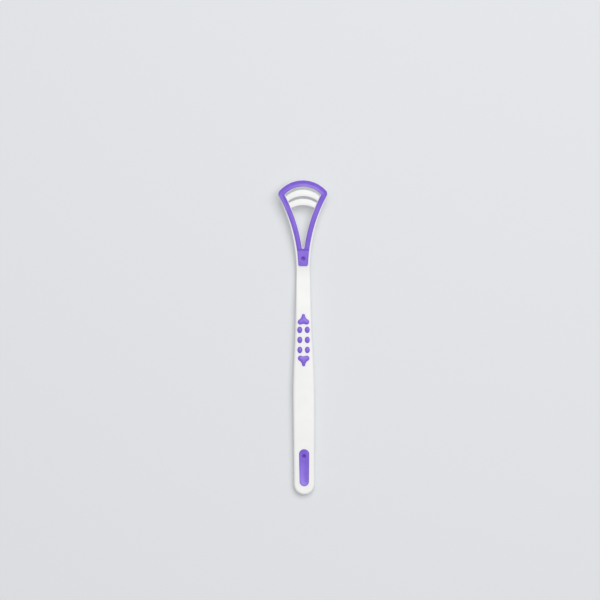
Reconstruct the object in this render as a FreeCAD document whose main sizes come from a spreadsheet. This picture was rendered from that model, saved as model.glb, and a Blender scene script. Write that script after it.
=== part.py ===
# Tongue scraper, lying on its back: X across, +Y towards the scraping head, +Z out of the front face.
# The origin is under the middle of the tool, on the surface that it rests on. Sizes are in millimetres.
import FreeCAD, Part
import Sketcher
import math
import os

SIZES = {
    "tool_length": 188.5,
    # Handle: widths and thicknesses at stations measured from the tail end
    "tail_width": 12.2,
    "tail_thick": 5.8,
    "palm_station": 58.0,
    "palm_width": 12.72,
    "swell_station": 70.0,
    "swell_width": 12.4,
    "grip_station": 88.0,
    "grip_width": 10.8,
    "waist_station": 112.0,
    "waist_width": 9.2,
    "handle_thick": 7.0,
    "back_round": 2.4,
    "front_round": 1.25,
    "land_depth": 0.3,
    "neck_station": 134.4,
    "neck_width": 7.9,
    # Head: a plate bent forward at the neck, with a flared loop and an arched front edge
    "head_tilt": 8.0,
    "plate_thick": 3.2,
    "plate_back_round": 1.0,
    "loop_back_bevel": 0.5,
    "plate_edge_break": 0.2,
    "arch_radius": 18.9,
    "shoulder_width": 30.8,
    "shoulder_round": 3.0,
    "inner_corner_round": 0.7,
    "crotch_round": 0.6,
    # Ribs across the loop, each sloping up to its scraping edge
    "rib_slot": 1.85,
    "rib_depth": 3.6,
    "rib_base": 0.4,
    "rib_thick": 2.2,
    "rib_crest": 1.2,
    "rib_slope_drop": 0.6,
    # Soft overlay of the head
    "rim_margin": 0.3,
    "neck_margin": 1.1,
    "arm_width": 2.95,
    "arm_taper": 2.2,
    "arch_band": 3.7,
    "seat_depth": 0.7,
    "overlay_rise": 0.9,
    "overlay_bevel": 0.55,
    "neck_pad_start": 2.8,
    "neck_pad_drop": 0.35,
    "neck_pad_gap": 0.1,
    "neck_pad_round": 1.2,
    # Gate dimples in the soft pads
    "dimple_width": 2.4,
    "dimple_floor": 1.3,
    "dimple_depth": 0.5,
    "neck_dimple_run": 7.3,
    # Soft grip islands on the front
    "grip_centre": 92.4,
    "dot_width": 3.0,
    "dot_length": 4.2,
    "dot_rise": 0.9,
    "dot_bevel": 0.65,
    "dot_gap": 1.5,
    "dot_row_gap": 1.8,
    "arrow_gap": 1.1,
    "arrow_reach": 2.4,
    "arrow_lobe": 2.9,
    "arrow_rise": 0.8,
    "arrow_bevel": 0.45,
    "island_depth": 1.0,
    "stem_width": 1.6,
    # Tail pad and rear grip pad
    "tail_pad_start": 4.9,
    "tail_pad_end": 27.2,
    "tail_pad_head_width": 6.1,
    "tail_pad_tail_width": 5.6,
    "tail_pad_depth": 1.3,
    "tail_pad_rise": 0.25,
    "tail_pad_dish": 0.7,
    "tail_dimple_station": 22.9,
    "rear_pad_overlap": 5.65,
    "rear_pad_head_width": 6.4,
    "rear_pad_tail_width": 7.2,
    "rear_pad_depth": 1.2,
    "rear_dimple_inset": 5.2,
}
RIB_COUNT = 2
DOT_ROWS = 3
ARROW_LOBES = 3
NECK_STEPS = 3
NEAR = 0.01
X_AXIS = FreeCAD.Vector(1, 0, 0)
Z_AXIS = FreeCAD.Vector(0, 0, 1)

doc = FreeCAD.newDocument("tongue_scraper")
sheet = doc.addObject("Spreadsheet::Sheet", "sizes")
for row, (alias, number) in enumerate(SIZES.items(), start=1):
    sheet.set(f"A{row}", alias)
    sheet.set(f"B{row}", str(number))
    sheet.setAlias(f"B{row}", alias)
doc.recompute()


def cell(alias):
    return f"sizes.{alias}"


def value(expression):
    return float(sheet.evalExpression(expression))


def minus(expression):
    return f"(-{expression})"


# Places worked out from the driving sizes, as expressions

def station_y(distance):
    """Y of a station that lies this far from the tail end."""
    return f"({distance} - {cell('tool_length')} / 2)"


def flare_radius(neck_half, shoulder_half, arch_radius):
    """Radius of an arm's edge: upright at the neck, through the shoulder on the arch."""
    spread = f"({shoulder_half} - {neck_half})"
    rise = f"({ARCH_CENTRE} + sqrt({arch_radius} ^ 2 - {shoulder_half} ^ 2))"
    return f"(({spread} ^ 2 + {rise} ^ 2) / (2 * {spread}))"


def bowl_radius(width, depth):
    """Radius of a round hollow of this width and depth."""
    return f"(({width} ^ 2 / 4 + {depth} ^ 2) / (2 * {depth}))"


FRONT = cell("handle_thick")
TILT = cell("head_tilt")
NECK_Y = station_y(cell("neck_station"))
BEND_RUN = f"({cell('neck_station')} - {cell('waist_station')})"
BEND_RADIUS = f"({BEND_RUN} / sin({TILT}))"
NECK_Z = f"({BEND_RADIUS} * (1 - cos({TILT})))"
HEAD_RUN = f"(({cell('tool_length')} - {cell('neck_station')}) / cos({TILT}))"
ARCH_CENTRE = f"({HEAD_RUN} - {cell('arch_radius')})"
BAND_OUTER = f"({cell('arch_radius')} - {cell('rim_margin')})"
BAND_INNER = f"({BAND_OUTER} - {cell('arch_band')})"
LOOP_INNER = f"({BAND_INNER} - {cell('rim_margin')})"
NECK_HALF = f"({cell('neck_width')} / 2)"
SHOULDER_HALF = f"({cell('shoulder_width')} / 2)"
CORE_FLARE = flare_radius(NECK_HALF, SHOULDER_HALF, cell("arch_radius"))
CORE_FLARE_X = f"({NECK_HALF} + {CORE_FLARE})"
PAD_HALF = f"({NECK_HALF} - {cell('neck_margin')})"
BAND_FLARE = flare_radius(PAD_HALF, f"({SHOULDER_HALF} - {cell('rim_margin')})", BAND_OUTER)
BAND_FLARE_X = f"({PAD_HALF} + {BAND_FLARE})"
ARM_INNER_X = f"({BAND_FLARE_X} + {cell('arm_taper')})"
BAND_ARM_INNER = f"({BAND_FLARE} + {cell('arm_width')} + {cell('arm_taper')})"
CORE_ARM_INNER = f"({BAND_ARM_INNER} + {cell('rim_margin')})"
BAND_CROTCH = f"({cell('crotch_round')} + {cell('rim_margin')})"
CROTCH_RUN = f"(sqrt(({CORE_ARM_INNER} + {cell('crotch_round')}) ^ 2 - {ARM_INNER_X} ^ 2) - {BAND_CROTCH})"
SEAT_FLOOR = f"({cell('plate_thick')} - {cell('seat_depth')})"
OVERLAY_TOP = f"({cell('plate_thick')} + {cell('overlay_rise')})"
NECK_PAD_TOP = f"({OVERLAY_TOP} - {cell('neck_pad_drop')})"
RIB_PITCH = f"({cell('rib_slot')} + {cell('rib_depth')})"
RIB_TOP = f"({cell('rib_base')} + {cell('rib_thick')})"
DIMPLE_FLOOR = f"({cell('dimple_floor')} / 2)"
DIMPLE_MOUTH = f"({cell('dimple_width')} - {DIMPLE_FLOOR})"
DOT_PITCH = f"({cell('dot_length')} + {cell('dot_row_gap')})"
DOT_ACROSS = f"(({cell('dot_gap')} + {cell('dot_width')}) / 2)"
DOTS_HALF = f"({(DOT_ROWS - 1) / 2} * {DOT_PITCH} + {cell('dot_length')} / 2)"
ARROW_DISTANCE = f"({DOTS_HALF} + {cell('arrow_gap')} + ({cell('arrow_reach')} + {cell('arrow_lobe')}) / 2)"
REAR_PAD_HALF = f"({ARROW_DISTANCE} + {cell('rear_pad_overlap')})"
REAR_PAD_START = f"({cell('grip_centre')} - {REAR_PAD_HALF})"
REAR_PAD_END = f"({cell('grip_centre')} + {REAR_PAD_HALF})"
TAIL_HALF = f"({cell('tail_width')} / 2)"
TAIL_SLOPE = f"atan(({FRONT} - {cell('tail_thick')}) / ({cell('palm_station')} - {TAIL_HALF}))"
TAIL_PAD_MIDDLE = f"(({cell('tail_pad_end')} + {cell('tail_pad_start')}) / 2)"


def between(first, last, share):
    return f"({first} + {share} * ({last} - {first}))"


def head_place(height, run="0"):
    """Place on the tilted head: run along it from the neck, height out of the plate's back."""
    along = f"({NECK_Y} + {run} * cos({TILT}) - {height} * sin({TILT}))"
    up = f"({NECK_Z} + {run} * sin({TILT}) + {height} * cos({TILT}))"
    return ("0", along, up)


def tail_place(height, distance):
    """Place on the sloping front of the tail, this far from the tail end and out of the surface."""
    run = f"({distance} - {TAIL_HALF})"
    along = f"({station_y(TAIL_HALF)} + {run} * cos({TAIL_SLOPE}) - {height} * sin({TAIL_SLOPE}))"
    up = f"({cell('tail_thick')} + {run} * sin({TAIL_SLOPE}) + {height} * cos({TAIL_SLOPE}))"
    return ("0", along, up)


def rib_centre(rib):
    """Run of the centre of a rib's lower arc; the ribs repeat the arch's inner edge."""
    return f"({ARCH_CENTRE} - {rib + 1} * {RIB_PITCH})"


# Sketches: attached to a plane of their own body, every size bound to the sheet

def attach(item, body, plane, base, tilt=None):
    role = f"{plane}_Plane"
    support = next(feature for feature in body.Origin.OriginFeatures if feature.Role == role)
    item.AttachmentSupport = [(support, "")]
    item.MapMode = "FlatFace"
    if tilt:
        item.AttachmentOffset = FreeCAD.Placement(FreeCAD.Vector(), FreeCAD.Rotation(X_AXIS, value(tilt)))
        item.setExpression("AttachmentOffset.Rotation.Angle", tilt)
    for axis, place in zip("xyz", base):
        item.setExpression(f"AttachmentOffset.Base.{axis}", place)
    return item


def new_sketch(body, name, plane, base, tilt=None):
    return attach(body.newObject("Sketcher::SketchObject", name), body, plane, base, tilt)


def head_sketch(body, name, height):
    return new_sketch(body, name, "XY", head_place(height), TILT)


def bind(sketch, name, expression, kind, *where):
    index = sketch.addConstraint(Sketcher.Constraint(kind, *where, value(expression)))
    sketch.renameConstraint(index, name)
    sketch.setExpression(f"Constraints.{name}", expression)


def join(sketch, chain):
    """Close a chain of edges; each holds its index, its two ends and whether it rounds a corner."""
    for place, (index, _, finish, rounds) in enumerate(chain):
        after, begin, _, after_rounds = chain[(place + 1) % len(chain)]
        kind = "Tangent" if rounds or after_rounds else "Coincident"
        sketch.addConstraint(Sketcher.Constraint(kind, index, finish, after, begin))


def add_arc(sketch, centre, start, end, rounds):
    """An arc of under half a turn from start to end, ready for a chain."""
    ahead = (start - centre).cross(end - centre).z > 0
    first, last = (start, end) if ahead else (end, start)
    angles = [math.atan2(point.y - centre.y, point.x - centre.x) for point in (first, last)]
    circle = Part.Circle(centre, Z_AXIS, (start - centre).Length)
    index = sketch.addGeometry(Part.ArcOfCircle(circle, *angles), False)
    return (index, 1, 2, rounds) if ahead else (index, 2, 1, rounds)


class Arc:
    """An edge of an outline on the circle round (x, y); the outlined area lies inside or outside it."""

    def __init__(self, x, y, radius, inside):
        self.x = x
        self.y = y
        self.radius = radius
        self.inside = inside
        self.centre = FreeCAD.Vector(value(x), value(y), 0)

    def reach(self, inset):
        return value(self.radius) - inset if self.inside else value(self.radius) + inset

    def foot(self, point):
        ray = point - self.centre
        return self.centre + ray * (value(self.radius) / ray.Length)

    def crossing(self, other, inset, side):
        """The upper point, on that side of the axis, that lies this far inside both edges."""
        line = other.centre - self.centre
        gap = line.Length
        along = (gap ** 2 + self.reach(inset) ** 2 - other.reach(inset) ** 2) / (2 * gap)
        across = math.sqrt(self.reach(inset) ** 2 - along ** 2)
        line.normalize()
        turn = FreeCAD.Vector(-line.y, line.x, 0) * across
        choices = [self.centre + line * along + turn, self.centre + line * along - turn]
        return max((point for point in choices if point.x * side >= 0), key=lambda point: point.y)

    def draw(self, sketch, label, start, end):
        edge = add_arc(sketch, self.centre, start, end, False)
        bind(sketch, f"{label}_radius", self.radius, "Radius", edge[0])
        bind(sketch, f"{label}_along", self.y, "DistanceY", -1, 1, edge[0], 3)
        bind(sketch, f"{label}_across", self.x, "DistanceX", -1, 1, edge[0], 3)
        return edge


class Level:
    """A straight lower edge of an outline at height y."""

    def __init__(self, y):
        self.y = y

    def foot(self, point):
        return FreeCAD.Vector(point.x, value(self.y), 0)

    def crossing(self, other, inset, side):
        height = value(self.y) + inset
        half = math.sqrt(other.reach(inset) ** 2 - (height - other.centre.y) ** 2)
        return FreeCAD.Vector(other.centre.x - side * half, height, 0)

    def draw(self, sketch, label, start, end):
        index = sketch.addGeometry(Part.LineSegment(start, end), False)
        sketch.addConstraint(Sketcher.Constraint("Horizontal", index))
        bind(sketch, f"{label}_level", self.y, "DistanceY", -1, 1, index, 1)
        return (index, 1, 2, False)


def draw_outline(sketch, name, edges, corners):
    """A closed outline; after each edge comes a corner: its side of the axis and its rounding or None."""
    turns = []
    for place, (side, rounding) in enumerate(corners):
        edge, after = edges[place], edges[(place + 1) % len(edges)]
        inset = value(rounding) if rounding else 0
        first, second = (after, edge) if isinstance(after, Level) else (edge, after)
        centre = first.crossing(second, inset, side)
        turns.append((centre, edge.foot(centre), after.foot(centre)))
    chain = []
    for place, edge in enumerate(edges):
        centre, end, following = turns[place]
        label = f"{name}_{place}"
        chain.append(edge.draw(sketch, label, turns[place - 1][2], end))
        rounding = corners[place][1]
        if rounding:
            chain.append(add_arc(sketch, centre, end, following, True))
            bind(sketch, f"{label}_round", rounding, "Radius", chain[-1][0])
    join(sketch, chain)


def draw_box(sketch, left, right, low, high, back=None, front=None):
    """An upright rectangle; the lower and upper corners that stand clear of the axis may be rounded."""
    corners = [(left, low, back), (right, low, back), (right, high, front), (left, high, front)]
    middles = [((value(left) + value(right)) / 2), ((value(low) + value(high)) / 2)]
    turns = []
    for place, (x, y, rounding) in enumerate(corners):
        sharp = FreeCAD.Vector(value(x), value(y), 0)
        if not rounding or x == "0":
            turns.append((sharp, sharp, sharp, None))
            continue
        reach = value(rounding)
        inward = FreeCAD.Vector(math.copysign(reach, middles[0] - sharp.x), 0, 0)
        upward = FreeCAD.Vector(0, math.copysign(reach, middles[1] - sharp.y), 0)
        start, end = (inward, upward) if place % 2 else (upward, inward)
        turns.append((sharp + inward + upward, sharp + start, sharp + end, rounding))
    chain = []
    for place, (x, y, _) in enumerate(corners):
        flat = place % 2 == 0
        after = turns[(place + 1) % len(turns)]
        index = sketch.addGeometry(Part.LineSegment(turns[place][2], after[1]), False)
        sketch.addConstraint(Sketcher.Constraint("Horizontal" if flat else "Vertical", index))
        bind(sketch, f"edge_{place}", y if flat else x, "DistanceY" if flat else "DistanceX", -1, 1, index, 1)
        chain.append((index, 1, 2, False))
        if after[3]:
            chain.append(add_arc(sketch, after[0], after[1], after[2], True))
            bind(sketch, f"round_{place}", after[3], "Radius", chain[-1][0])
    join(sketch, chain)


def draw_capsule(sketch, low, high, low_width, high_width):
    """Two round ends on the axis, centred at low and high, joined by straight sides."""
    lean = math.asin((value(low_width) - value(high_width)) / 2 / (value(high) - value(low)))
    edges = []
    for name, place, width, turn in (("low", low, low_width, math.pi), ("high", high, high_width, 0)):
        centre = FreeCAD.Vector(0, value(place), 0)
        angles = (lean, math.pi - lean) if turn == 0 else (math.pi - lean, 2 * math.pi + lean)
        arc = Part.ArcOfCircle(Part.Circle(centre, Z_AXIS, value(width) / 2), *angles)
        index = sketch.addGeometry(arc, False)
        sketch.addConstraint(Sketcher.Constraint("PointOnObject", index, 3, -2))
        bind(sketch, f"{name}_place", place, "DistanceY", -1, 1, index, 3)
        bind(sketch, f"{name}_width", f"({width} / 2)", "Radius", index)
        edges.append((index, arc.StartPoint, arc.EndPoint))
    chain = []
    for place, (index, _, end) in enumerate(edges):
        chain.append((index, 1, 2, True))
        line = sketch.addGeometry(Part.LineSegment(end, edges[1 - place][1]), False)
        chain.append((line, 1, 2, False))
    join(sketch, chain)


# Features

def new_body(label):
    body = doc.addObject("PartDesign::Body", label)
    body.Label = label
    return body


def pad(body, name, sketch, length):
    feature = body.newObject("PartDesign::Pad", name)
    feature.Profile = sketch
    feature.setExpression("Length", length)
    return feature


def pocket(body, name, sketch, depth, upward=False):
    feature = body.newObject("PartDesign::Pocket", name)
    feature.Profile = sketch
    feature.Reversed = upward
    feature.setExpression("Length", depth)
    return feature


def round_edges(body, name, base, edges, radius):
    feature = body.newObject("PartDesign::Fillet", name)
    feature.Base = (base, edges)
    feature.setExpression("Radius", radius)
    return feature


def bevel_edges(body, name, base, edges, size):
    feature = body.newObject("PartDesign::Chamfer", name)
    feature.Base = (base, edges)
    feature.setExpression("Size", size)
    return feature


def level_face(base, frame, height, normal):
    """The flat face of a feature at this height in a sketch's frame, facing along or against it."""
    doc.recompute()
    up = frame.Rotation.multVec(Z_AXIS) * normal
    point = frame.multVec(Z_AXIS * height)
    for face in base.Shape.Faces:
        turned = isinstance(face.Surface, Part.Plane) and face.normalAt(0, 0).dot(up) > 1 - NEAR
        if turned and abs((face.CenterOfMass - point).dot(up)) < NEAR:
            return face


def edge_names(base, wanted):
    return [f"Edge{place}" for place, edge in enumerate(base.Shape.Edges, start=1) if wanted(edge)]


def names_of(base, edges):
    return edge_names(base, lambda edge: any(edge.isSame(other) for other in edges))


def dimple(body, place, low, high, tilt=None):
    """A gate hollow: a cone with its lower end at place, half of it clear of the surface."""
    cone = attach(body.newObject("PartDesign::SubtractiveCone", "gate_dimple"), body, "XY", place, tilt)
    cone.setExpression("Radius1", low)
    cone.setExpression("Radius2", high)
    cone.setExpression("Height", f"2 * {cell('dimple_depth')}")


def stem(body, across, along):
    """The key of a grip island, down through the handle to the rear pad."""
    rod = body.newObject("PartDesign::AdditiveBox", "stem")
    corner = [f"({middle} - {cell('stem_width')} / 2)" for middle in (across, along)]
    attach(rod, body, "XY", (*corner, cell("rear_pad_depth")))
    rod.setExpression("Length", cell("stem_width"))
    rod.setExpression("Width", cell("stem_width"))
    rod.setExpression("Height", f"{FRONT} - {cell('rear_pad_depth')}")


# Outlines that two pieces share

def plate_outline(sketch):
    right = Arc(CORE_FLARE_X, "0", CORE_FLARE, False)
    left = Arc(minus(CORE_FLARE_X), "0", CORE_FLARE, False)
    arch = Arc("0", ARCH_CENTRE, cell("arch_radius"), True)
    rounding = cell("shoulder_round")
    corners = [(1, None), (1, rounding), (-1, rounding), (-1, None)]
    draw_outline(sketch, "rim", [Level("0"), right, arch, left], corners)


def loop_outline(sketch, arm, arch_radius, corner, crotch):
    right = Arc(ARM_INNER_X, "0", arm, False)
    left = Arc(minus(ARM_INNER_X), "0", arm, False)
    arch = Arc("0", ARCH_CENTRE, arch_radius, True)
    draw_outline(sketch, "loop", [right, arch, left], [(1, corner), (-1, corner), (0, crotch)])


def rib_outline(sketch, rib, depth):
    arm = f"({BAND_FLARE} + {cell('arm_width')} / 2)"
    upper = Arc("0", f"({rib_centre(rib)} + {depth})", LOOP_INNER, True)
    lower = Arc("0", rib_centre(rib), LOOP_INNER, False)
    right = Arc(BAND_FLARE_X, "0", arm, False)
    left = Arc(minus(BAND_FLARE_X), "0", arm, False)
    corners = [(1, None), (1, None), (-1, None), (-1, None)]
    draw_outline(sketch, "rib", [lower, right, upper, left], corners)


def tail_pad_sketch(body):
    """The tail pad's outline, on the floor of its recess."""
    place = tail_place(minus(cell("tail_pad_depth")), TAIL_PAD_MIDDLE)
    sketch = new_sketch(body, "tail_pad_plan", "XY", place, TAIL_SLOPE)
    low_width, high_width = cell("tail_pad_tail_width"), cell("tail_pad_head_width")
    low = f"({cell('tail_pad_start')} - {TAIL_PAD_MIDDLE} + {low_width} / 2)"
    high = f"({cell('tail_pad_end')} - {TAIL_PAD_MIDDLE} - {high_width} / 2)"
    draw_capsule(sketch, low, high, low_width, high_width)
    return sketch


def rear_pad_sketch(body):
    """The rear pad's outline, flush with the rest land."""
    sketch = new_sketch(body, "rear_pad_plan", "XY", ("0", "0", "0"))
    low_width, high_width = cell("rear_pad_tail_width"), cell("rear_pad_head_width")
    low = station_y(f"({REAR_PAD_START} + {low_width} / 2)")
    high = station_y(f"({REAR_PAD_END} - {high_width} / 2)")
    draw_capsule(sketch, low, high, low_width, high_width)
    return sketch


# Rigid core: head plate, handle, tail end, ribs and the recesses for the two long pads

def make_head_plate(body):
    sketch = head_sketch(body, "plate_plan", "0")
    plate_outline(sketch)
    corner = f"({cell('inner_corner_round')} - {cell('rim_margin')})"
    loop_outline(sketch, CORE_ARM_INNER, LOOP_INNER, corner, cell("crotch_round"))
    plate = pad(body, "plate", sketch, cell("plate_thick"))
    doc.recompute()
    frame = sketch.Placement
    face = level_face(plate, frame, 0, -1)
    rim = [edge for edge in face.OuterWire.Edges if (edge.CenterOfMass - frame.Base).Length > NEAR]
    back = round_edges(body, "plate_back_edges", plate, names_of(plate, rim), cell("plate_back_round"))
    face = level_face(back, frame, 0, -1)
    hole = [edge for wire in face.Wires if not wire.isSame(face.OuterWire) for edge in wire.Edges]
    loop = bevel_edges(body, "loop_back_edges", back, names_of(back, hole), cell("loop_back_bevel"))
    doc.recompute()
    thick = value(cell("plate_thick"))
    neck_end = frame.multVec(Z_AXIS * thick)

    def front_edge(edge):
        flat = all(abs((frame.inverse().multVec(vertex.Point)).z - thick) < NEAR for vertex in edge.Vertexes)
        return flat and (edge.CenterOfMass - neck_end).Length > NEAR

    bevel_edges(body, "plate_front_edges", loop, edge_names(loop, front_edge), cell("plate_edge_break"))


def section(body, name, place, lift, low, high, width, back, front, tilt=None):
    """A rounded cross-section of the handle at one station."""
    sketch = new_sketch(body, f"{name}_section", "XZ", ("0", lift, minus(place)), tilt)
    draw_box(sketch, f"(-{width} / 2)", f"({width} / 2)", low, high, back, front)
    return sketch


def loft(body, name, sections, straight=False):
    feature = body.newObject("PartDesign::AdditiveLoft", name)
    feature.Profile = sections[0]
    feature.Sections = sections[1:]
    feature.Ruled = straight


def make_handle(body):
    """A straight shaft from the tail to the palm, a tapering grip and a neck that bends forward."""
    low, back, front = minus(cell("land_depth")), cell("back_round"), cell("front_round")
    shaft = []
    for name in ("palm", "swell", "grip", "waist"):
        place = station_y(cell(f"{name}_station"))
        shaft.append(section(body, name, place, "0", low, FRONT, cell(f"{name}_width"), back, front))
    place = station_y(TAIL_HALF)
    tail = section(body, "tail", place, "0", low, cell("tail_thick"), cell("tail_width"), back, front)
    neck = [shaft[-1]]
    for step in range(1, NECK_STEPS + 1):
        share = step / NECK_STEPS
        ease = share ** 2 * (3 - 2 * share)
        turn = f"({TILT} * {share})"
        place = f"({station_y(cell('waist_station'))} + {BEND_RADIUS} * sin({turn}))"
        lift = f"({BEND_RADIUS} * (1 - cos({turn})))"
        sizes = [between(low, "0", ease), between(FRONT, cell("plate_thick"), ease)]
        sizes.append(between(cell("waist_width"), cell("neck_width"), share))
        sizes.append(between(back, cell("plate_back_round"), ease))
        sizes.append(between(front, cell("plate_edge_break"), ease))
        neck.append(section(body, f"neck_{step}", place, lift, *sizes, turn))
    loft(body, "neck", neck)
    loft(body, "grip", shaft)
    loft(body, "shaft", [tail, shaft[0]])


def make_tail_end(body):
    sketch = new_sketch(body, "tail_profile", "XZ", ("0", "0", minus(station_y(TAIL_HALF))))
    draw_box(sketch, "0", TAIL_HALF, minus(cell("land_depth")), cell("tail_thick"),
             cell("back_round"), cell("front_round"))
    turn = body.newObject("PartDesign::Revolution", "tail_end")
    turn.Profile = sketch
    turn.ReferenceAxis = (sketch, ["V_Axis"])
    turn.Angle = 180
    turn.Reversed = True


def make_rest_land(body):
    sketch = new_sketch(body, "land_plan", "XY", ("0", "0", "0"))
    reach = f"({cell('palm_width')})"
    low = minus(f"({cell('tool_length')} / 2 + {reach})")
    draw_box(sketch, minus(reach), reach, low, NECK_Y)
    pocket(body, "rest_land", sketch, f"(2 * {cell('land_depth')})")


def make_ribs(body):
    """Each rib is upright on its scraping side and slopes up to a crest from the other."""
    slope_start = f"({RIB_TOP} - {cell('rib_slope_drop')})"
    levels = [("base", cell("rib_base"), cell("rib_depth")), ("slope", slope_start, cell("rib_depth"))]
    levels.append(("crest", RIB_TOP, cell("rib_crest")))
    for rib in range(RIB_COUNT):
        sections = []
        for name, height, depth in levels:
            sections.append(head_sketch(body, f"rib_{rib}_{name}", height))
            rib_outline(sections[-1], rib, depth)
        loft(body, f"rib_{rib}", sections, straight=True)


def make_core():
    body = new_body("core_moulding")
    make_head_plate(body)
    make_handle(body)
    make_tail_end(body)
    make_rest_land(body)
    make_ribs(body)
    pocket(body, "tail_recess", tail_pad_sketch(body), f"(2 * {cell('tail_pad_depth')})", upward=True)
    pocket(body, "rear_recess", rear_pad_sketch(body), cell("rear_pad_depth"), upward=True)
    return body


# Soft pieces

def make_head_overlay():
    body = new_body("head_overlay")
    sketch = head_sketch(body, "band_plan", SEAT_FLOOR)
    right = Arc(BAND_FLARE_X, "0", BAND_FLARE, False)
    left = Arc(minus(BAND_FLARE_X), "0", BAND_FLARE, False)
    arch = Arc("0", ARCH_CENTRE, BAND_OUTER, True)
    shoulder = f"({cell('shoulder_round')} - {cell('rim_margin')})"
    foot = cell("neck_pad_round")
    corners = [(1, foot), (1, shoulder), (-1, shoulder), (-1, foot)]
    draw_outline(sketch, "band", [Level(cell("neck_pad_start")), right, arch, left], corners)
    loop_outline(sketch, BAND_ARM_INNER, BAND_INNER, cell("inner_corner_round"), BAND_CROTCH)
    height = f"({cell('seat_depth')} + {cell('overlay_rise')})"
    band = pad(body, "band", sketch, height)
    doc.recompute()
    top = level_face(band, sketch.Placement, value(height), 1)
    bevel_edges(body, "band_edges", band, names_of(band, top.Edges), cell("overlay_bevel"))
    step = head_sketch(body, "neck_pad_plan", OVERLAY_TOP)
    reach = cell("neck_width")
    crease = f"({CROTCH_RUN} - {cell('overlay_bevel')} - {cell('neck_pad_gap')})"
    draw_box(step, minus(reach), reach, "0", crease)
    pocket(body, "neck_pad", step, cell("neck_pad_drop"))
    floor = head_place(f"({NECK_PAD_TOP} - {cell('dimple_depth')})", cell("neck_dimple_run"))
    dimple(body, floor, DIMPLE_FLOOR, DIMPLE_MOUTH, TILT)
    return body


def island_sketch(body, across, along):
    return new_sketch(body, "island_plan", "XY", (across, along, f"({FRONT} - {cell('island_depth')})"))


def bevel_island(body, base, rise, size):
    """Bevel the top edges of a grip island that stands this far out of the handle."""
    doc.recompute()
    top = value(f"{FRONT} + {rise}")

    def top_edge(edge):
        return all(abs(vertex.Z - top) < NEAR for vertex in edge.Vertexes)

    bevel_edges(body, "island_edges", base, edge_names(base, top_edge), size)


def make_grip_dot(row, side):
    side_name = "left" if side < 0 else "right"
    body = new_body(f"grip_dot_{row + 1}_{side_name}")
    across = f"({side} * {DOT_ACROSS})"
    steps = row - (DOT_ROWS - 1) / 2
    along = station_y(f"({cell('grip_centre')} + {steps} * {DOT_PITCH})")
    sketch = island_sketch(body, across, along)
    end = f"(({cell('dot_length')} - {cell('dot_width')}) / 2)"
    draw_capsule(sketch, minus(end), end, cell("dot_width"), cell("dot_width"))
    bead = pad(body, "bead", sketch, f"({cell('island_depth')} + {cell('dot_rise')})")
    bevel_island(body, bead, cell("dot_rise"), cell("dot_bevel"))
    stem(body, across, along)
    return body


def make_grip_arrow(label, towards):
    body = new_body(label)
    along = station_y(f"({cell('grip_centre')} + {towards} * {ARROW_DISTANCE})")
    sketch = island_sketch(body, "0", along)
    lobe = cell("arrow_lobe")
    ends = ("0", cell("arrow_reach")) if towards > 0 else (minus(cell("arrow_reach")), "0")
    draw_capsule(sketch, *ends, lobe, lobe)
    leg = pad(body, "lobe", sketch, f"({cell('island_depth')} + {cell('arrow_rise')})")
    pattern = body.newObject("PartDesign::PolarPattern", "lobes")
    pattern.Originals = [leg]
    pattern.Axis = (sketch, ["N_Axis"])
    pattern.Angle = 360
    pattern.Occurrences = ARROW_LOBES
    body.Tip = pattern
    bevel_island(body, pattern, cell("arrow_rise"), cell("arrow_bevel"))
    stem(body, "0", along)
    return body


def make_tail_pad():
    """Level with the handle at its ends and dished for the thumb."""
    body = new_body("tail_pad")
    pad(body, "pad", tail_pad_sketch(body), f"({cell('tail_pad_depth')} + {cell('tail_pad_rise')})")
    radius = bowl_radius(f"({cell('tail_pad_end')} - {cell('tail_pad_start')})", cell("tail_pad_dish"))
    axis_height = f"({cell('tail_pad_rise')} - {cell('tail_pad_dish')} + {radius})"
    _, along, up = tail_place(axis_height, TAIL_PAD_MIDDLE)
    dish = body.newObject("PartDesign::SubtractiveCylinder", "thumb_dish")
    attach(dish, body, "YZ", (along, up, minus(cell("tail_pad_head_width"))))
    dish.setExpression("Radius", radius)
    dish.setExpression("Height", f"2 * {cell('tail_pad_head_width')}")
    gate = cell("tail_dimple_station")
    surface = f"({axis_height} - sqrt({radius} ^ 2 - ({gate} - {TAIL_PAD_MIDDLE}) ^ 2))"
    floor = tail_place(f"({surface} - {cell('dimple_depth')})", gate)
    dimple(body, floor, DIMPLE_FLOOR, DIMPLE_MOUTH, TAIL_SLOPE)
    return body


def make_rear_grip_pad():
    body = new_body("rear_grip_pad")
    pad(body, "pad", rear_pad_sketch(body), cell("rear_pad_depth"))
    gate = station_y(f"({REAR_PAD_START} + {cell('rear_dimple_inset')})")
    dimple(body, ("0", gate, minus(cell("dimple_depth"))), DIMPLE_MOUTH, DIMPLE_FLOOR)
    return body


def make_parts():
    """Every piece; the core is moulded round the keyed soft pieces, so it is cut by them."""
    keyed = [make_head_overlay()]
    keyed.append(make_grip_arrow("grip_arrow_upper", 1))
    keyed.append(make_grip_arrow("grip_arrow_lower", -1))
    for row in range(DOT_ROWS):
        for side in (-1, 1):
            keyed.append(make_grip_dot(row, side))
    cavity = doc.addObject("Part::MultiFuse", "cavity")
    cavity.Shapes = keyed
    core = doc.addObject("Part::Cut", "handle_core")
    core.Label = "handle_core"
    core.Base = make_core()
    core.Tool = cavity
    return [core] + keyed + [make_tail_pad(), make_rear_grip_pad()]


parts = make_parts()
doc.recompute()
for item in doc.Objects:
    if "Invalid" in item.State or "Error" in item.State:
        raise RuntimeError(f"{item.Name} failed: {item.State}")
for item in parts:
    if item.Shape.isNull() or not item.Shape.isValid() or len(item.Shape.Solids) != 1:
        raise RuntimeError(f"{item.Label} is not one valid solid")
os.makedirs("parts", exist_ok=True)
for item in parts:
    item.Shape.exportStep(f"parts/{item.Label}.step")
    print(f"{item.Label}: {item.Shape.Volume:.2f} mm3")
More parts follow.
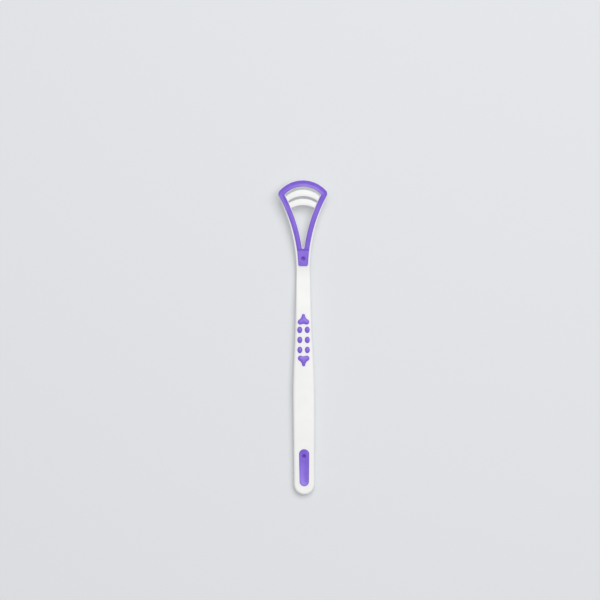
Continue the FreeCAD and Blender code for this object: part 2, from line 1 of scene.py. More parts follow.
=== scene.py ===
# Tongue scraper lying on its back, seen from straight above: a white handle with violet soft grips.
# X runs across the tool, +Y towards the scraping head, +Z out of its front. Sizes are in millimetres,
# apart from those of the floor and the lamp.
import math
import bmesh
import bpy
import numpy as np
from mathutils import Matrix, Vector


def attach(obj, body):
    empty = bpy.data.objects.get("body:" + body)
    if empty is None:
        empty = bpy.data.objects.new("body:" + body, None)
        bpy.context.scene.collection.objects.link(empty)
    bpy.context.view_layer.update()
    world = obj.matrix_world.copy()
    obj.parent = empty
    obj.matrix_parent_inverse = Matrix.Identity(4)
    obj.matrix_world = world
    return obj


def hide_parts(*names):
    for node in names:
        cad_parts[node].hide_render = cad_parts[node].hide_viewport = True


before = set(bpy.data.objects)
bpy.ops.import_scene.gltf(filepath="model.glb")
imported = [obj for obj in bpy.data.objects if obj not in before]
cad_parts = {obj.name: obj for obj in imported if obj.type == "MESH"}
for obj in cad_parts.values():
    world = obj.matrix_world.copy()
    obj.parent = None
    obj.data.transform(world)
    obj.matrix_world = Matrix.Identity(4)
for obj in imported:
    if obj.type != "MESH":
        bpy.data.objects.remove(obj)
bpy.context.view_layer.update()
MM = 0.001

# Handle: stations are measured from the tail end
TOOL_LENGTH = 188.5
TAIL_WIDTH = 12.2
TAIL_THICK = 5.8
PALM_STATION = 58.0
WAIST_STATION = 112.0
NECK_STATION = 134.4
HANDLE_THICK = 7.0

# Head: the rim of the soft band, drawn on the front of a plate that bends forward at the neck
HEAD_TILT = math.radians(8)
PLATE_THICK = 3.2
ARCH_RADIUS = 18.9
SHOULDER_HALF = 15.4
SHOULDER_ROUND = 3.0
NECK_HALF = 3.95
NECK_MARGIN = 1.1
RIM_MARGIN = 0.3
ARM_WIDTH = 2.95
ARM_TAPER = 2.2
ARCH_BAND = 3.7
INNER_CORNER_ROUND = 0.7
CROTCH_ROUND = 0.9
NECK_PAD_START = 2.8
NECK_PAD_ROUND = 1.2
SEAT_DEPTH = 0.7
BAND_RISE = 0.88
BAND_EDGE = 0.12
BAND_ROUND = 0.45
ARM_CROWN = 0.4
ARCH_SCOOP = 0.5
ARCH_BLEND_START = 0.4
NECK_PAD_RISE = 0.75
CREASE_GAP = 0.6
CREASE_WIDTH = 1.5

# Gate dimples, where the soft material was fed in; the shares are of a dimple's half width
DIMPLE_WIDTH = 2.4
DIMPLE_DEPTH = 0.5
DIMPLE_FLOOR_SHARE = 0.55
DIMPLE_RIM_SHARE = 1.2
NECK_DIMPLE_RUN = 7.3
TAIL_DIMPLE_STATION = 22.9
REAR_DIMPLE_INSET = 5.2

# Grip islands. An arrow's reaches are those of its swept lobes and its front lobe, and its widths are
# those of its hub, of the swept lobes' tips and of the front lobe's tip.
GRIP_STATION = 92.4
DOT_ROWS = 3
DOT_PITCH = 6.0
DOT_SPREAD = 4.5
DOT_WIDTH = 3.0
DOT_LENGTH = 3.95
DOT_SHIFT = 0.12
DOT_RISE = 0.9
DOT_FULLNESS = 1.9
ISLAND_DEPTH = 1.0
ARROW_DISTANCE = 11.85
ARROW_SWEEP = math.radians(118)
ARROW_REACHES = (2.18, 2.95)
ARROW_WIDTHS = (2.4, 3.0, 1.75)
ARROW_WEB = 0.6
ARROW_RISE = 0.8
ARROW_EDGE = 0.1
ARROW_ROUND = 1.7

# Seats of the grip islands in the core, which are plainer than the islands. Surrounds close what the
# islands leave open in them, with a lap under the islands' edges.
DOT_SEAT_WIDTH = 3.0
DOT_SEAT_LENGTH = 4.2
ARROW_SEAT_SWEEP = math.radians(120)
ARROW_SEAT_REACHES = (2.4, 2.4)
ARROW_SEAT_WIDTHS = (2.9, 2.9, 2.9)
ARROW_SEAT_WEB = 0.01
SEAT_LAP = 0.15

# Tail pad and rear pad
TAIL_PAD_START = 4.9
TAIL_PAD_END = 27.2
TAIL_PAD_WIDTHS = (5.6, 6.1)
TAIL_PAD_DEPTH = 1.3
TAIL_PAD_RISE = 0.25
TAIL_PAD_DISH = 0.75
TAIL_PAD_HOLLOW = 0.25
TAIL_PAD_CURVE = 2.6
REAR_PAD_HALF = 17.5
REAR_PAD_WIDTHS = (7.2, 6.4)
REAR_PAD_DEPTH = 1.2
PAD_ROUND = 0.4

# Counts of steps along and across the modelled surfaces, and how they are closed and shaded
ACROSS_STEPS = 56
NECK_STEPS = 48
ARM_STEPS = 70
CORNER_STEPS = 14
ARCH_STEPS = 40
PAD_STEPS = 40
ROUND_STEPS = 64
SIDE_STEPS = 60
BISECTIONS = 40
MERGE = 1e-7
SHARP = math.radians(40)
ROW_INPUTS = {
    "Rows": "NodeSocketInt",
    "Row Pitch": "NodeSocketFloat",
    "Spread": "NodeSocketFloat",
    "Centre": "NodeSocketVector",
    "Template": "NodeSocketObject",
    "Material": "NodeSocketMaterial",
}

# Places of the colour sockets on a mix node
MIX_FROM = 6
MIX_TO = 7
MIX_RESULT = 2

# Sizes of the patterns in the finishes: clouds from the flow, patches of gloss, and grain
WHITE_PATTERN = (14.0, 5.0, 0.6)
VIOLET_PATTERN = (6.0, 3.0, 0.5)

# Stage: the floor and the lamp are in metres and watts
FLOOR_HALF = 1.5
FLOOR_GAP = 0.0002
KEY_DIRECTION = (0.17, 0.3, 0.96)
KEY_DISTANCE = 2.0
KEY_SIZE = 1.45
KEY_POWER = 24.5
SKY = 0.48
SENSOR = 36.0
CAMERA_HEIGHT = 2000.0
VIEW_WIDTH = 360.0
VIEW_CENTRE = (-2.0, 22.15)
CAMERA_ROLL = math.radians(-0.29)


def station(distance):
    return distance - TOOL_LENGTH / 2


def plane(y, z, tilt=0.0, outward=1):
    """A map from points on a face (across, along, height off it) to the tool's frame in metres."""
    def place(across, along, height):
        rise = outward * height
        y_out = y + along * math.cos(tilt) - rise * math.sin(tilt)
        z_out = z + along * math.sin(tilt) + rise * math.cos(tilt)
        return np.stack([across, y_out, z_out], axis=-1) * MM
    return place


bend_radius = (NECK_STATION - WAIST_STATION) / math.sin(HEAD_TILT)
head_face = plane(station(NECK_STATION), bend_radius * (1 - math.cos(HEAD_TILT)), HEAD_TILT)
tail_slope = math.atan((HANDLE_THICK - TAIL_THICK) / (PALM_STATION - TAIL_WIDTH / 2))
tail_face = plane(station(TAIL_WIDTH / 2), TAIL_THICK, tail_slope)
rear_face = plane(station(0), 0, outward=-1)


# Outlines, as rows of points in the plane of a face

def arc(centre, radius, start, end, count):
    angles = np.linspace(start, end, count)
    return np.asarray(centre) + radius * np.stack([np.cos(angles), np.sin(angles)], axis=-1)


def heading(start, end):
    return math.atan2(end[1] - start[1], end[0] - start[0])


def circles_meet(first, first_radius, second, second_radius):
    """The upper right point that lies on both circles."""
    line = second - first
    gap = np.linalg.norm(line)
    along = (gap ** 2 + first_radius ** 2 - second_radius ** 2) / (2 * gap)
    across = math.sqrt(first_radius ** 2 - along ** 2)
    line = line / gap
    turn = np.array([-line[1], line[0]]) * across
    return max((first + line * along + turn, first + line * along - turn), key=lambda point: point[1])


def resample(points, count):
    steps = np.linalg.norm(np.diff(points, axis=0), axis=1)
    length = np.concatenate([[0], np.cumsum(steps)])
    wanted = np.linspace(0, length[-1], count)
    return np.stack([np.interp(wanted, length, points[:, axis]) for axis in (0, 1)], axis=-1)


def edge_distance(rows, outline):
    """Distance of each point in rows of points to a closed outline."""
    sides = np.roll(outline, -1, axis=0) - outline
    lengths = np.maximum((sides ** 2).sum(-1), MERGE)
    distances = []
    for points in rows:
        away = points[:, None, :] - outline
        share = np.clip((away * sides).sum(-1) / lengths, 0, 1)
        distances.append(np.linalg.norm(away - share[..., None] * sides, axis=-1).min(-1))
    return np.array(distances)


def smooth_step(low, high, amount):
    share = np.clip((amount - low) / (high - low), 0, 1)
    return share ** 2 * (3 - 2 * share)


def round_over(distance, radius):
    """How far a rounded edge has risen, from 0 at the edge to 1 at the rounding's inner end."""
    return np.sqrt(1 - (1 - np.clip(distance / radius, 0, 1)) ** 2)


def dimple(points, centre):
    """Depth of a round hollow with a soft rim."""
    away = np.linalg.norm(points - np.asarray(centre), axis=-1) / (DIMPLE_WIDTH / 2)
    return DIMPLE_DEPTH * (1 - smooth_step(DIMPLE_FLOOR_SHARE, DIMPLE_RIM_SHARE, away))


# Soft pieces: closed solids over an outline, with a top that rises from a rounded edge

def soft_solid(name, plan, heights, floor, place, gate_shade, middle_open=False):
    """Rows of points from the outer edge inwards, closed below; the shade mask, from 0 to 1, paints
    shade into the gate hollows.
    """
    count = plan.shape[1]
    ground = np.full(count, floor)
    rows = [place(plan[0, :, 0], plan[0, :, 1], ground)]
    rows += [place(plan[row, :, 0], plan[row, :, 1], heights[row]) for row in range(len(plan))]
    middle = place(plan[-1, :, 0], plan[-1, :, 1], ground)
    rows = rows + [middle] if middle_open else [middle] + rows
    marks = np.zeros((len(rows), count))
    first = 1 if middle_open else 2
    marks[first:first + len(plan)] = gate_shade
    faces = []
    for row in range(len(rows) if middle_open else len(rows) - 1):
        near, far = row * count, (row + 1) % len(rows) * count
        for step in range(count):
            beside = (step + 1) % count
            faces.append((near + step, near + beside, far + beside, far + step))
    mesh = bpy.data.meshes.new(name)
    mesh.from_pydata(np.concatenate(rows).tolist(), [], faces)
    # Painted shade: this attribute darkens the gate hollows in the elastomer's finish.
    marked = mesh.attributes.new("gate_shade", "FLOAT", "POINT")
    marked.data.foreach_set("value", marks.ravel().astype(np.float32))
    return finish_mesh(name, mesh)


def finish_mesh(name, mesh):
    """Merge seams and poles, turn the faces outwards and shade smooth between the sharp edges."""
    form = bmesh.new()
    form.from_mesh(mesh)
    bmesh.ops.remove_doubles(form, verts=form.verts, dist=MERGE)
    bmesh.ops.dissolve_degenerate(form, edges=form.edges, dist=MERGE)
    bmesh.ops.recalc_face_normals(form, faces=form.faces)
    form.to_mesh(mesh)
    form.free()
    mesh.shade_smooth()
    mesh.set_sharp_from_angle(angle=SHARP)
    piece = bpy.data.objects.new(name, mesh)
    bpy.context.scene.collection.objects.link(piece)
    return piece


def ring(right_half):
    """A closed outline from its right half, which runs from one point on the axis to another."""
    left_half = right_half[-2:0:-1] * np.array([-1, 1])
    return np.concatenate([right_half, left_half])


def band_outlines():
    """Outer and inner edge of the head's soft band, two shares per point, and where the loop starts.

    The shares say how far a point belongs to an arm and how far to the arch.
    """
    run = (TOOL_LENGTH - NECK_STATION) / math.cos(HEAD_TILT)
    arch = np.array([0, run - ARCH_RADIUS])
    outer_arch = ARCH_RADIUS - RIM_MARGIN
    inner_arch = outer_arch - ARCH_BAND
    pad_half = NECK_HALF - NECK_MARGIN
    spread = SHOULDER_HALF - RIM_MARGIN - pad_half
    rise = arch[1] + math.sqrt(outer_arch ** 2 - (SHOULDER_HALF - RIM_MARGIN) ** 2)
    outer_flare = (spread ** 2 + rise ** 2) / (2 * spread)
    inner_flare = outer_flare + ARM_WIDTH + ARM_TAPER
    flare = np.array([pad_half + outer_flare, 0])
    inside = flare + np.array([ARM_TAPER, 0])
    shoulder_round = SHOULDER_ROUND - RIM_MARGIN
    shoulder = circles_meet(flare, outer_flare + shoulder_round, arch, outer_arch - shoulder_round)
    corner_round = INNER_CORNER_ROUND
    corner = circles_meet(inside, inner_flare + corner_round, arch, inner_arch - corner_round)
    crotch = np.array([0, math.sqrt((inner_flare + CROTCH_ROUND) ** 2 - inside[0] ** 2)])
    foot_y = NECK_PAD_START + NECK_PAD_ROUND
    foot = np.array([flare[0] - math.sqrt((outer_flare + NECK_PAD_ROUND) ** 2 - foot_y ** 2), foot_y])
    turn = heading(inside, crotch)
    neck_edge = np.concatenate([
        [[0, NECK_PAD_START]],
        arc(foot, NECK_PAD_ROUND, -math.pi / 2, heading(foot, flare), ROUND_STEPS),
        arc(flare, outer_flare, heading(flare, foot), turn, ROUND_STEPS),
    ])
    outer = [
        resample(neck_edge, NECK_STEPS),
        arc(flare, outer_flare, turn, heading(flare, shoulder), ARM_STEPS),
        arc(shoulder, shoulder_round, heading(shoulder, flare), heading(arch, shoulder), CORNER_STEPS),
        arc(arch, outer_arch, heading(arch, shoulder), math.pi / 2, ARCH_STEPS),
    ]
    inner = [
        arc(crotch, CROTCH_ROUND, -math.pi / 2, heading(crotch, inside), NECK_STEPS),
        arc(inside, inner_flare, turn, heading(inside, corner), ARM_STEPS),
        arc(corner, corner_round, heading(corner, inside), heading(arch, corner), CORNER_STEPS),
        arc(arch, inner_arch, heading(arch, corner), math.pi / 2, ARCH_STEPS),
    ]
    to_arch = smooth_step(ARCH_BLEND_START, 1, np.linspace(0, 1, ARM_STEPS))
    from_neck = smooth_step(0, 1, np.linspace(0, 1, NECK_STEPS))
    head_share = np.ones(CORNER_STEPS + ARCH_STEPS)
    arm_share = np.concatenate([from_neck, 1 - to_arch, 1 - head_share])
    arch_share = np.concatenate([np.zeros(NECK_STEPS), to_arch, head_share])
    shares = [np.concatenate([share, share[-2:0:-1]]) for share in (arm_share, arch_share)]
    return ring(np.concatenate(outer)), ring(np.concatenate(inner)), shares, crotch[1] - CROTCH_ROUND


def make_head_band():
    """Crowned arms, a hollow arch between two lips, and a neck pad that climbs from a crease."""
    outer, inner, (arm_share, arch_share), crotch_run = band_outlines()
    across = (1 - np.cos(np.linspace(0, math.pi, ACROSS_STEPS))) / 2
    plan = outer + across[:, None, None] * (inner - outer)
    edge = np.minimum(edge_distance(plan, outer), edge_distance(plan, inner))
    sideways = (2 * across[:, None] - 1) ** 2
    crown = ARM_CROWN * sideways
    scoop = ARCH_SCOOP * (1 - sideways)
    top = BAND_RISE - arm_share * crown - arch_share * scoop
    crease = crotch_run - CREASE_GAP
    foot = crease - CREASE_WIDTH / 2
    above = smooth_step(foot, crease + CREASE_WIDTH / 2, plan[..., 1])
    climb = np.clip((foot - plan[..., 1]) / (foot - NECK_PAD_START), 0, 1)
    pad_top = BAND_EDGE + NECK_PAD_RISE * climb
    top = pad_top + above * (top - pad_top)
    hollow = dimple(plan, (0, NECK_DIMPLE_RUN))
    heights = PLATE_THICK + BAND_EDGE + (top - BAND_EDGE) * round_over(edge, BAND_ROUND) - hollow
    floor = PLATE_THICK - SEAT_DEPTH
    # Painted shade for the neck's gate hollow, strongest at its floor.
    gate_shade = hollow / DIMPLE_DEPTH
    return soft_solid("soft_head_band", plan, heights, floor, head_face, gate_shade, middle_open=True)


def capsule(low, high, low_width, high_width):
    """Outline of two round ends with straight sides, and the point of its spine for each point."""
    lean = math.asin((low_width - high_width) / 2 / (high - low))
    ends = [(low, low_width / 2, math.pi - lean, 2 * math.pi + lean)]
    ends.append((high, high_width / 2, lean, math.pi - lean))
    outline, spine = [], []
    for place, radius, start, end in ends:
        outline.append(arc((0, place), radius, start, end, ROUND_STEPS))
        spine.append(np.tile([0.0, place], (ROUND_STEPS, 1)))
    sides = []
    for first in (0, 1):
        pair = []
        for rows in (outline, spine):
            start, end = rows[first][-1], rows[1 - first][0]
            shares = np.linspace(0, 1, SIDE_STEPS + 2)[1:-1, None]
            pair.append(start + shares * (end - start))
        sides.append(pair)
    edge = np.concatenate([outline[0], sides[0][0], outline[1], sides[1][0]])
    return edge, np.concatenate([spine[0], sides[0][1], spine[1], sides[1][1]])


def pad_plan(edge, spine):
    inwards = 1 - np.cos(np.linspace(0, math.pi / 2, PAD_STEPS))
    return edge + inwards[:, None, None] * (spine - edge)


def make_tail_pad():
    """A thumb pad, dished along its length and a little across, level with the handle at its ends."""
    from_plane = TAIL_WIDTH / 2
    low_width, high_width = TAIL_PAD_WIDTHS
    low = TAIL_PAD_START - from_plane + low_width / 2
    high = TAIL_PAD_END - from_plane - high_width / 2
    edge, spine = capsule(low, high, low_width, high_width)
    plan = pad_plan(edge, spine)
    middle = (TAIL_PAD_START + TAIL_PAD_END) / 2 - from_plane
    reach = (TAIL_PAD_END - TAIL_PAD_START) / 2
    dish = TAIL_PAD_DISH * (1 - abs((plan[..., 1] - middle) / reach) ** TAIL_PAD_CURVE)
    hollow = dimple(plan, (0, TAIL_DIMPLE_STATION - from_plane))
    inset = edge_distance(plan, edge)
    drop = PAD_ROUND * (1 - round_over(inset, PAD_ROUND))
    bowl = TAIL_PAD_HOLLOW * smooth_step(0, low_width / 2, inset)
    heights = TAIL_PAD_RISE - dish - bowl - hollow - drop
    # The hollow's depth also sets its painted shade.
    return soft_solid("soft_tail_pad", plan, heights, -TAIL_PAD_DEPTH, tail_face, hollow / DIMPLE_DEPTH)


def make_rear_pad():
    """The finger pad on the back, level with the face that the tool rests on."""
    low_width, high_width = REAR_PAD_WIDTHS
    start = GRIP_STATION - REAR_PAD_HALF
    low = start + low_width / 2
    high = GRIP_STATION + REAR_PAD_HALF - high_width / 2
    edge, spine = capsule(low, high, low_width, high_width)
    plan = pad_plan(edge, spine)
    hollow = dimple(plan, (0, start + REAR_DIMPLE_INSET))
    drop = PAD_ROUND * (1 - round_over(edge_distance(plan, edge), PAD_ROUND))
    heights = -hollow - drop
    # The hollow's depth also sets its painted shade.
    return soft_solid("soft_rear_pad", plan, heights, -REAR_PAD_DEPTH, rear_face, hollow / DIMPLE_DEPTH)


def lobe_distance(points, reach, turn, hub_width, tip_width):
    """Signed distance to a lobe that runs from a hub to a tip in one direction."""
    axis = np.array([math.cos(turn), math.sin(turn)])
    share = np.clip(points @ axis / reach, 0, 1)
    away = np.linalg.norm(points - share[..., None] * reach * axis, axis=-1)
    return away - (hub_width + share * (tip_width - hub_width)) / 2


def arrow_edge(turn, sweep, reaches, widths, web):
    """Outline of three lobes that melt together over the web: one along turn, two swept back."""
    hub, side, front = widths
    lobes = [(0, reaches[1], front), (-sweep, reaches[0], side), (sweep, reaches[0], side)]
    angles = np.linspace(0, 2 * math.pi, 2 * ROUND_STEPS, endpoint=False)
    rays = np.stack([np.cos(angles), np.sin(angles)], axis=-1)
    near = np.zeros(len(rays))
    far = np.full(len(rays), max(reaches) + max(widths))
    for _ in range(BISECTIONS):
        middle = (near + far) / 2
        points = rays * middle[:, None]
        closeness = 0
        for aside, reach, tip in lobes:
            away = lobe_distance(points, reach, turn + aside, hub, tip)
            closeness = closeness + np.exp(-away / web)
        inside = closeness > 1
        near = np.where(inside, middle, near)
        far = np.where(inside, far, middle)
    return rays * near[:, None]


def arrow_face(towards):
    return plane(station(GRIP_STATION + towards * ARROW_DISTANCE), HANDLE_THICK)


def make_arrow(name, towards):
    """A three-lobed island with a round top that points to the head (1) or to the tail (-1)."""
    edge = arrow_edge(towards * math.pi / 2, ARROW_SWEEP, ARROW_REACHES, ARROW_WIDTHS, ARROW_WEB)
    plan = pad_plan(edge, np.zeros_like(edge))
    rise = round_over(edge_distance(plan, edge), ARROW_ROUND)
    heights = ARROW_EDGE + (ARROW_RISE - ARROW_EDGE) * rise
    return soft_solid(name, plan, heights, -ISLAND_DEPTH, arrow_face(towards), np.zeros_like(heights))


def dot_reach(turns):
    """How far the oval of a dot reaches from its middle in these directions."""
    return 1 / np.hypot(np.cos(turns) / (DOT_WIDTH / 2), np.sin(turns) / (DOT_LENGTH / 2))


def make_dot_template():
    """An oval dome with a full crown, about the middle of its seat."""
    turns = np.linspace(0, 2 * math.pi, ROUND_STEPS, endpoint=False)
    edge = dot_reach(turns)[:, None] * np.stack([np.cos(turns), np.sin(turns)], axis=-1)
    plan = pad_plan(edge, np.zeros_like(edge))
    spent = np.linalg.norm(plan, axis=-1) / np.linalg.norm(edge, axis=-1)
    heights = DOT_RISE * np.maximum(1 - spent ** DOT_FULLNESS, 0) ** (1 / DOT_FULLNESS)
    place = plane(DOT_SHIFT, 0)
    return soft_solid("dot_template", plan, heights, -ISLAND_DEPTH, place, np.zeros_like(heights))


def surround(name, wall, reach, place):
    """The handle's front between a seat's wall and an island that reaches this far from its middle."""
    away = np.linalg.norm(wall, axis=-1)
    inner = wall * ((np.minimum(away, reach) - SEAT_LAP) / away)[:, None]
    plan = np.stack([wall, inner])
    level = np.zeros(plan.shape[:2])
    return soft_solid(name, plan, level, -ISLAND_DEPTH, place, level, middle_open=True)


def make_arrow_surround(name, towards):
    """The white round an arrow, out to the plain lobes of its seat."""
    turn = towards * math.pi / 2
    wall = arrow_edge(turn, ARROW_SEAT_SWEEP, ARROW_SEAT_REACHES, ARROW_SEAT_WIDTHS, ARROW_SEAT_WEB)
    arrow = arrow_edge(turn, ARROW_SWEEP, ARROW_REACHES, ARROW_WIDTHS, ARROW_WEB)
    return surround(name, wall, np.linalg.norm(arrow, axis=-1), arrow_face(towards))


def make_dot_surround_template():
    """The white round a dot, out to the round ends of its seat."""
    half = (DOT_SEAT_LENGTH - DOT_SEAT_WIDTH) / 2
    wall, _ = capsule(-half, half, DOT_SEAT_WIDTH, DOT_SEAT_WIDTH)
    wall = wall - np.array([0, DOT_SHIFT])
    reach = dot_reach(np.arctan2(wall[:, 1], wall[:, 0]))
    return surround("surround_template", wall, reach, plane(DOT_SHIFT, 0))


# Nodes: one function adds them, to shader trees and geometry trees alike

def add_node(tree, kind, inputs=None, **settings):
    """Add a node with its settings; its inputs are set to values or linked from nodes' outputs."""
    node = tree.nodes.new(kind)
    for name, setting in settings.items():
        setattr(node, name, setting)
    for key, source in (inputs or {}).items():
        if isinstance(source, bpy.types.NodeSocket):
            tree.links.new(source, node.inputs[key])
        else:
            node.inputs[key].default_value = source
    return node


def hex_colour(code):
    """An sRGB hex colour as linear red, green, blue and alpha."""
    parts = [int(code[place:place + 2], 16) / 255 for place in (0, 2, 4)]
    linear = [part / 12.92 if part <= 0.04045 else ((part + 0.055) / 1.055) ** 2.4 for part in parts]
    return linear + [1.0]


def new_material(name):
    material = bpy.data.materials.new(name)
    material.use_nodes = True
    material.node_tree.nodes.clear()
    return material, material.node_tree


def per_metre(size):
    """Scale of a pattern whose blotches are this many millimetres wide."""
    return 1 / (size * MM)


def polypropylene():
    # Polypropylene from a polished mould: bright white with a soft gloss, faintly cloudy from its flow.
    # The mould's grain of about 0.1 mm is drawn at 0.6 mm, so that it shows in the render.
    material, tree = new_material("polypropylene_moulded_white")
    cloud_size, patch_size, grain_size = WHITE_PATTERN
    spot = add_node(tree, "ShaderNodeTexCoord").outputs["Object"]
    flow = add_node(tree, "ShaderNodeTexNoise", {"Vector": spot, "Scale": per_metre(cloud_size)})
    tint = {"Factor": flow.outputs["Fac"], MIX_FROM: hex_colour("ECECEB"), MIX_TO: hex_colour("F8F8F6")}
    colour = add_node(tree, "ShaderNodeMix", tint, data_type="RGBA")
    patch = add_node(tree, "ShaderNodeTexNoise", {"Vector": spot, "Scale": per_metre(patch_size)})
    polish = {"Value": patch.outputs["Fac"], "To Min": 0.42, "To Max": 0.54}
    gloss = add_node(tree, "ShaderNodeMapRange", polish)
    grain = add_node(tree, "ShaderNodeTexNoise", {"Vector": spot, "Scale": per_metre(grain_size)})
    texture = {"Height": grain.outputs["Fac"], "Strength": 0.2, "Distance": 0.01 * MM}
    skin = add_node(tree, "ShaderNodeBump", texture)
    shader = add_node(tree, "ShaderNodeBsdfPrincipled", {
        "Base Color": colour.outputs[MIX_RESULT],
        "Roughness": gloss.outputs["Result"],
        "Normal": skin.outputs["Normal"],
        "IOR": 1.49,
        "Subsurface Weight": 0.1,
        "Subsurface Radius": (1.0, 1.0, 1.0),
        "Subsurface Scale": 0.8 * MM,
    })
    add_node(tree, "ShaderNodeOutputMaterial", {"Surface": shader.outputs["BSDF"]})
    return material


def elastomer():
    # Thermoplastic elastomer moulded onto the handle: satin violet, with painted shade that darkens the
    # gate hollows towards their floors, partly standing for a deeper tone of the elastomer at the
    # gates.
    # The skin's grain of about 0.15 mm is drawn at 0.5 mm, so that it shows in the render.
    material, tree = new_material("elastomer_moulded_violet")
    cloud_size, patch_size, grain_size = VIOLET_PATTERN
    spot = add_node(tree, "ShaderNodeTexCoord").outputs["Object"]
    flow = add_node(tree, "ShaderNodeTexNoise", {"Vector": spot, "Scale": per_metre(cloud_size)})
    tint = {"Factor": flow.outputs["Fac"], MIX_FROM: hex_colour("7655CC"), MIX_TO: hex_colour("8E6EE3")}
    violet = add_node(tree, "ShaderNodeMix", tint, data_type="RGBA")
    # Painted shade: the gate hollows are mixed towards a deep violet, most at their floors, partly as
    # the elastomer's deeper tone there.
    gate_shade = add_node(tree, "ShaderNodeAttribute", attribute_name="gate_shade")
    gate_tone_and_shade = {
        "Factor": gate_shade.outputs["Fac"],
        MIX_FROM: violet.outputs[MIX_RESULT],
        MIX_TO: hex_colour("5630B2"),
    }
    colour = add_node(tree, "ShaderNodeMix", gate_tone_and_shade, data_type="RGBA")
    patch = add_node(tree, "ShaderNodeTexNoise", {"Vector": spot, "Scale": per_metre(patch_size)})
    satin = {"Value": patch.outputs["Fac"], "To Min": 0.26, "To Max": 0.38}
    gloss = add_node(tree, "ShaderNodeMapRange", satin)
    grain = add_node(tree, "ShaderNodeTexNoise", {"Vector": spot, "Scale": per_metre(grain_size)})
    texture = {"Height": grain.outputs["Fac"], "Strength": 0.3, "Distance": 0.02 * MM}
    skin = add_node(tree, "ShaderNodeBump", texture)
    shader = add_node(tree, "ShaderNodeBsdfPrincipled", {
        "Base Color": colour.outputs[MIX_RESULT],
        "Roughness": gloss.outputs["Result"],
        "Normal": skin.outputs["Normal"],
        "IOR": 1.5,
        "Subsurface Weight": 0.08,
        "Subsurface Radius": (0.8, 0.6, 1.0),
        "Subsurface Scale": 0.5 * MM,
    })
    add_node(tree, "ShaderNodeOutputMaterial", {"Surface": shader.outputs["BSDF"]})
    return material


def row_tree():
    """Rows with a pair of copies of a template in each."""
    tree = bpy.data.node_groups.new("grip_rows", "GeometryNodeTree")
    tree.is_modifier = True
    for name, kind in ROW_INPUTS.items():
        tree.interface.new_socket(name, in_out="INPUT", socket_type=kind)
    tree.interface.new_socket("Copies", in_out="OUTPUT", socket_type="NodeSocketGeometry")
    given = add_node(tree, "NodeGroupInput").outputs
    gaps = add_node(tree, "ShaderNodeMath", {0: given["Rows"], 1: 1.0}, operation="SUBTRACT")
    run = {0: gaps.outputs[0], 1: given["Row Pitch"]}
    length = add_node(tree, "ShaderNodeMath", run, operation="MULTIPLY")
    points = add_node(tree, "GeometryNodeMeshGrid", {
        "Size X": given["Spread"],
        "Size Y": length.outputs[0],
        "Vertices X": 2,
        "Vertices Y": given["Rows"],
    })
    placed = {"Geometry": points.outputs["Mesh"], "Translation": given["Centre"]}
    middles = add_node(tree, "GeometryNodeTransform", placed)
    single = add_node(tree, "GeometryNodeObjectInfo", {"Object": given["Template"]})
    copies = {"Points": middles.outputs["Geometry"], "Instance": single.outputs["Geometry"]}
    rows = add_node(tree, "GeometryNodeInstanceOnPoints", copies)
    real = add_node(tree, "GeometryNodeRealizeInstances", {"Geometry": rows.outputs["Instances"]})
    painted = {"Geometry": real.outputs["Geometry"], "Material": given["Material"]}
    finished = add_node(tree, "GeometryNodeSetMaterial", painted)
    add_node(tree, "NodeGroupOutput", {"Copies": finished.outputs["Geometry"]})
    return tree


def make_rows(name, tree, template, material):
    """Set a template out in the rows of the grip; the template goes afterwards."""
    host = bpy.data.objects.new("row_host", bpy.data.meshes.new("row_host"))
    bpy.context.scene.collection.objects.link(host)
    modifier = host.modifiers.new("rows", "NODES")
    modifier.node_group = tree
    values = {
        "Rows": DOT_ROWS,
        "Row Pitch": DOT_PITCH * MM,
        "Spread": DOT_SPREAD * MM,
        "Centre": (0.0, station(GRIP_STATION) * MM, HANDLE_THICK * MM),
        "Template": template,
        "Material": material,
    }
    for socket in tree.interface.items_tree:
        if socket.in_out == "INPUT":
            modifier[socket.identifier] = values[socket.name]
    graph = bpy.context.evaluated_depsgraph_get()
    mesh = bpy.data.meshes.new_from_object(host.evaluated_get(graph), depsgraph=graph)
    bpy.data.objects.remove(host)
    bpy.data.objects.remove(template)
    return finish_mesh(name, mesh)


# The object: soft pieces in place of the plain solids, and a finish on the rigid core

def dress(piece, material, slot, *nodes):
    """A piece that rides on the tool, and stands for these solids if there are any."""
    if not piece.data.materials:
        piece.data.materials.append(material)
    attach(piece, "root")
    if nodes:
        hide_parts(*nodes)


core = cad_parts["handle_core"]
white = polypropylene()
core.data.materials.clear()
core.data.materials.append(white)
rows = row_tree()
for side, towards in (("upper", 1), ("lower", -1)):
    dress(make_arrow_surround(f"core_arrow_surround_{side}", towards), white, "core_plastic")
dress(make_rows("core_dot_surrounds", rows, make_dot_surround_template(), white), white, "core_plastic")

violet = elastomer()
dress(make_head_band(), violet, "soft_overmould", "head_overlay")
dress(make_arrow("soft_arrow_upper", 1), violet, "soft_overmould", "grip_arrow_upper")
dress(make_arrow("soft_arrow_lower", -1), violet, "soft_overmould", "grip_arrow_lower")
dot_nodes = [f"grip_dot_{row}_{side}" for row in range(1, DOT_ROWS + 1) for side in ("left", "right")]
dots = make_rows("soft_grip_dots", rows, make_dot_template(), violet)
dress(dots, violet, "soft_overmould", *dot_nodes)
dress(make_tail_pad(), violet, "soft_overmould", "tail_pad")
dress(make_rear_pad(), violet, "soft_overmould", "rear_grip_pad")


# Stage: a pale floor, a broad lamp beyond the head on the right, and soft light from all round

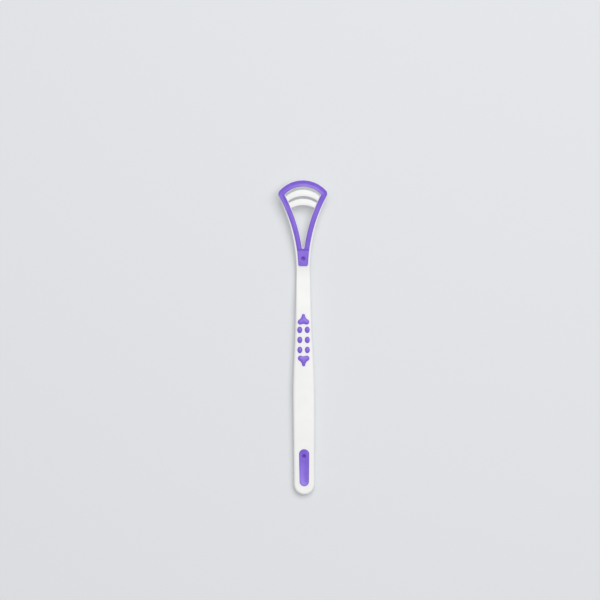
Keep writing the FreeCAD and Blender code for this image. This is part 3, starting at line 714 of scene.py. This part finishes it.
def make_floor():
    material, tree = new_material("pale_floor")
    paint = {"Base Color": hex_colour("E2E4E7"), "Roughness": 0.9}
    shader = add_node(tree, "ShaderNodeBsdfPrincipled", paint)
    add_node(tree, "ShaderNodeOutputMaterial", {"Surface": shader.outputs["BSDF"]})
    mesh = bpy.data.meshes.new("floor")
    signs = ((-1, -1), (1, -1), (1, 1), (-1, 1))
    corners = [(x * FLOOR_HALF, y * FLOOR_HALF, -FLOOR_GAP) for x, y in signs]
    mesh.from_pydata(corners, [], [(0, 1, 2, 3)])
    mesh.materials.append(material)
    floor = bpy.data.objects.new("floor", mesh)
    bpy.context.scene.collection.objects.link(floor)


def add_lamp(name, direction, distance, size, power):
    """A square soft lamp that faces the tool from this direction."""
    lamp = bpy.data.lights.new(name, "AREA")
    lamp.size = size
    lamp.energy = power
    holder = bpy.data.objects.new(name, lamp)
    aim = Vector(direction).normalized()
    holder.location = aim * distance
    holder.rotation_euler = aim.to_track_quat("Z", "Y").to_euler()
    bpy.context.scene.collection.objects.link(holder)


def add_sky():
    world = bpy.data.worlds.new("soft_room_light")
    world.use_nodes = True
    tree = world.node_tree
    tree.nodes.clear()
    light = add_node(tree, "ShaderNodeBackground", {"Color": hex_colour("FFFFFF"), "Strength": SKY})
    add_node(tree, "ShaderNodeOutputWorld", {"Surface": light.outputs["Background"]})
    bpy.context.scene.world = world


def add_camera():
    """Straight above, far enough off that the view is almost parallel."""
    lens = bpy.data.cameras.new("camera")
    lens.sensor_width = SENSOR
    lens.lens = SENSOR * CAMERA_HEIGHT / VIEW_WIDTH
    camera = bpy.data.objects.new("camera", lens)
    camera.location = (VIEW_CENTRE[0] * MM, VIEW_CENTRE[1] * MM, CAMERA_HEIGHT * MM)
    camera.rotation_euler = (0, 0, CAMERA_ROLL)
    bpy.context.scene.collection.objects.link(camera)
    bpy.context.scene.camera = camera


make_floor()
add_lamp("key_lamp", KEY_DIRECTION, KEY_DISTANCE, KEY_SIZE, KEY_POWER)
add_sky()
add_camera()
bpy.context.scene.view_settings.view_transform = "Standard"
